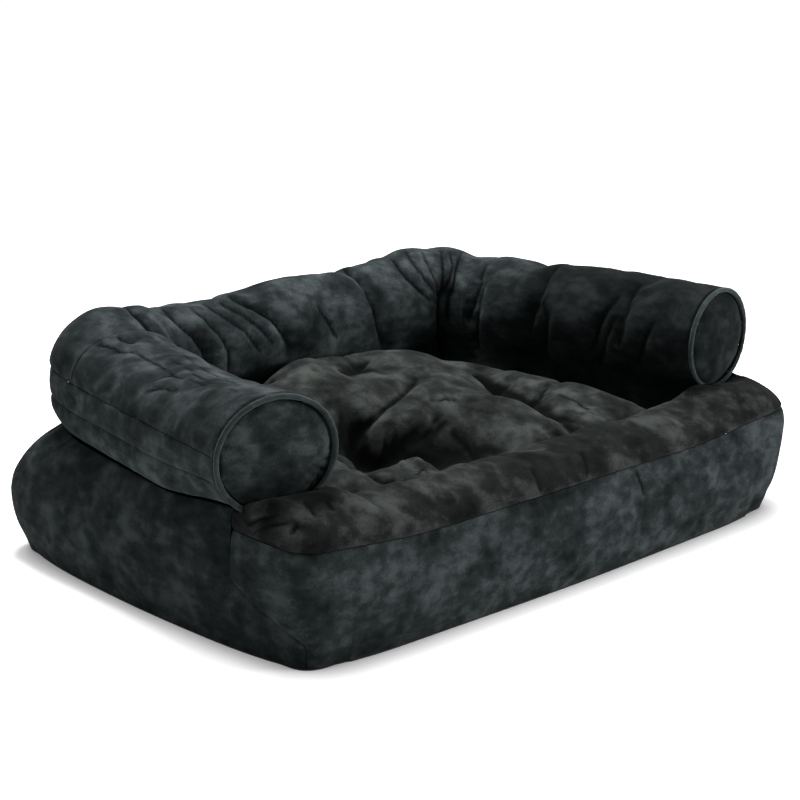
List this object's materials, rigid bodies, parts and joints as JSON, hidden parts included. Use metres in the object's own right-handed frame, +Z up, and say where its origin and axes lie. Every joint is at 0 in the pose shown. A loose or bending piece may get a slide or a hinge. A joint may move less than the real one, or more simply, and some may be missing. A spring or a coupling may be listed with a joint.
{
  "type": "dog sofa bed",
  "caption": "Sofa-shaped plush bed for a dog: padded base with a low front lip, U-shaped bolster with round piped arm ends, and a loose overstuffed cushion that lifts out for washing.",
  "frame": {"origin": "centre of the bed's box at floor level, under the middle of the well", "axes": "+X to the right arm (the right when you face the open front from outside), +Y to the back roll, +Z up; the open front faces -Y"},
  "size_m": [1.0828, 0.7008, 0.3508],
  "materials": {
    "plush": "matte",
    "welt": "matte",
    "lining": "matte",
    "stuffing": "matte",
    "foam": "matte",
    "zip_tape": "matte",
    "zip_teeth": "satin",
    "zip_metal": "satin"
  },
  "bodies": {
    "bed": {"bottom_panel": "lining", "front_panel": "plush", "left_side_panel": "plush", "right_side_panel": "plush", "back_panel": "plush", "front_lip_panel": "plush", "well_front_panel": "lining", "well_floor_panel": "lining", "left_arm_panel": "plush", "right_arm_panel": "plush", "back_bolster_panel": "plush", "outer_band": "plush", "lower_band": "plush", "left_arm_end_panel": "plush", "right_arm_end_panel": "plush", "left_arm_piping": "welt", "right_arm_piping": "welt", "base_pad": "foam", "left_wall_fill": "stuffing", "right_wall_fill": "stuffing", "back_wall_fill": "stuffing", "front_lip_fill": "stuffing", "left_arm_fill": "stuffing", "right_arm_fill": "stuffing", "back_bolster_fill": "stuffing", "base_zip_tape": "zip_tape", "base_zip_teeth": "zip_teeth", "base_zip_stops": "zip_metal"},
    "base_zip_slider": {"base_zip_slider": "zip_metal"},
    "base_zip_pull": {"base_zip_pull": "zip_metal"},
    "cushion": {"cushion_top_panel": "plush", "cushion_bottom_panel": "plush", "cushion_fill": "stuffing", "cushion_zip_tape": "zip_tape", "cushion_zip_teeth": "zip_teeth", "cushion_zip_stops": "zip_metal"},
    "cushion_zip_slider": {"cushion_zip_slider": "zip_metal"},
    "cushion_zip_pull": {"cushion_zip_pull": "zip_metal"}
  },
  "joints": [
    {"name": "cushion_lift", "type": "slide", "parent": "bed", "child": "cushion", "axis": [0, 0, 1], "range_m": [0, 0.26]},
    {"name": "base_zip_slide", "type": "slide", "parent": "bed", "child": "base_zip_slider", "axis": [-1, 0, 0], "range_m": [0, 0.62]},
    {"name": "base_zip_pull_swing", "type": "hinge", "parent": "base_zip_slider", "child": "base_zip_pull", "pos_m": [0.3121, 0.34845, 0.02341], "axis": [0, -0.1724, -0.985], "range_deg": [0, 170]},
    {"name": "cushion_zip_slide", "type": "slide", "parent": "cushion", "child": "cushion_zip_slider", "axis": [-1, 0, 0], "range_m": [0, 0.38]},
    {"name": "cushion_zip_pull_swing", "type": "hinge", "parent": "cushion_zip_slider", "child": "cushion_zip_pull", "pos_m": [0.1921, 0.1894, 0.157], "axis": [0, 0, -1], "range_deg": [0, 170]}
  ]
}
